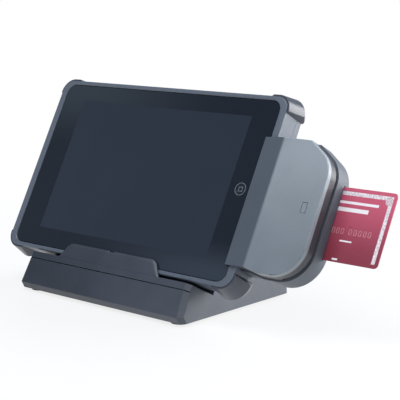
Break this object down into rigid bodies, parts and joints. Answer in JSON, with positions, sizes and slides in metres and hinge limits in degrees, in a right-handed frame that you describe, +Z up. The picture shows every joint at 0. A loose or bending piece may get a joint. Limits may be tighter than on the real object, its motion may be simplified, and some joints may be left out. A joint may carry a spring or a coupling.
{
  "type": "tablet point-of-sale terminal",
  "caption": "Tablet in a protective case leaning in a weighted countertop dock, with a side card reader that has a swipe slot and a chip slot holding a card.",
  "frame": {"origin": "centre of the four counter-fixing holes, on the underside of the dock's base plate", "axes": "+X to the right along the dock's front, +Y towards the back, +Z up; the feet reach 2 mm below the origin"},
  "size_m": [0.3448, 0.1261, 0.1628],
  "materials": {
    "case_plastic": "fine-textured charcoal moulding",
    "bumper_plastic": "satin charcoal moulding",
    "reader_plastic": "fine-grained grey moulding",
    "reader_side": "smooth satin grey moulding",
    "dock_plastic": "fine-textured charcoal moulding",
    "glass": "black-backed cover glass",
    "display": "switched-off display",
    "key_plastic": "gloss black key",
    "tablet_shell": "matt black moulding",
    "rubber": "matt black rubber",
    "foam": "closed-cell foam",
    "steel": "zinc-plated steel",
    "painted_steel": "black powder coat",
    "contact_gold": "gold-plated contacts",
    "board": "green circuit board",
    "cell": "wrapped cell pack",
    "connector_plastic": "black connector moulding",
    "card_plastic": "crimson laminated card",
    "window_plastic": "translucent grey window"
  },
  "bodies": {
    "dock": {"dock_housing": "dock_plastic", "dock_front_lip": "dock_plastic", "dock_back_rest": "dock_plastic", "rest_screws": "steel", "base_plate": "painted_steel", "base_screws": "steel", "dock_feet": "rubber", "rest_pads": "rubber", "dock_contact_block": "connector_plastic", "board_spacers": "connector_plastic", "dock_board": "board", "power_inlet": "connector_plastic", "usb_ports": "steel"},
    "terminal": {"cover_glass": "glass", "display_panel": "display", "home_switch": "connector_plastic", "tablet_back_shell": "tablet_shell", "tablet_battery": "cell", "tablet_board": "board", "tablet_speaker": "connector_plastic", "charge_port": "steel", "case_front_frame": "case_plastic", "case_rear_shell": "case_plastic", "case_screws": "steel", "bumper_top_left": "bumper_plastic", "bumper_top_right": "bumper_plastic", "bumper_bottom_left": "bumper_plastic", "bumper_bottom_right": "bumper_plastic", "foam_spacers": "foam", "sled_battery": "cell", "sled_board": "board", "case_contact_block": "connector_plastic", "case_contact_pads": "contact_gold", "reader_front_cover": "reader_plastic", "status_window": "window_plastic", "reader_rear_housing": "reader_side", "reader_screws": "steel", "reader_bracket": "painted_steel", "bracket_screws": "steel", "chip_connector": "connector_plastic", "chip_contacts": "contact_gold", "reader_board": "board"},
    "home_key_button": {"home_key": "key_plastic"},
    "power_button": {"power_key": "key_plastic"},
    "volume_button": {"volume_rocker": "key_plastic"},
    "swipe_head": {"mag_head": "steel", "mag_head_spring": "steel"},
    "card": {"payment_card": "card_plastic", "card_chip": "contact_gold"},
    "spring_pins": {"contact_pins": "contact_gold"}
  },
  "joints": [
    {"name": "terminal_lift", "type": "slide", "parent": "dock", "child": "terminal", "axis": [0, 0.4695, 0.8829], "range_m": [0, 0.09]},
    {"name": "card_withdraw", "type": "slide", "parent": "terminal", "child": "card", "axis": [1, 0, 0], "range_m": [0, 0.042]},
    {"name": "home_key_press", "type": "slide", "parent": "terminal", "child": "home_key_button", "axis": [0, 0.8829, -0.4695], "range_m": [0, 0.0004], "stiffness_N_per_m": 400, "springref_m": -0.0002},
    {"name": "power_key_press", "type": "slide", "parent": "terminal", "child": "power_button", "axis": [0, -0.4695, -0.8829], "range_m": [0, 0.0006], "stiffness_N_per_m": 400, "springref_m": -0.0002},
    {"name": "volume_key_press", "type": "slide", "parent": "terminal", "child": "volume_button", "axis": [0, -0.4695, -0.8829], "range_m": [0, 0.0006], "stiffness_N_per_m": 400, "springref_m": -0.0002},
    {"name": "swipe_head_float", "type": "slide", "parent": "terminal", "child": "swipe_head", "axis": [0, -0.8829, 0.4695], "range_m": [0, 0.0007], "stiffness_N_per_m": 300, "springref_m": -0.0005},
    {"name": "contact_pin_press", "type": "slide", "parent": "dock", "child": "spring_pins", "axis": [0, -0.4695, -0.8829], "range_m": [0, 0.001], "stiffness_N_per_m": 300, "springref_m": -0.0005}
  ]
}
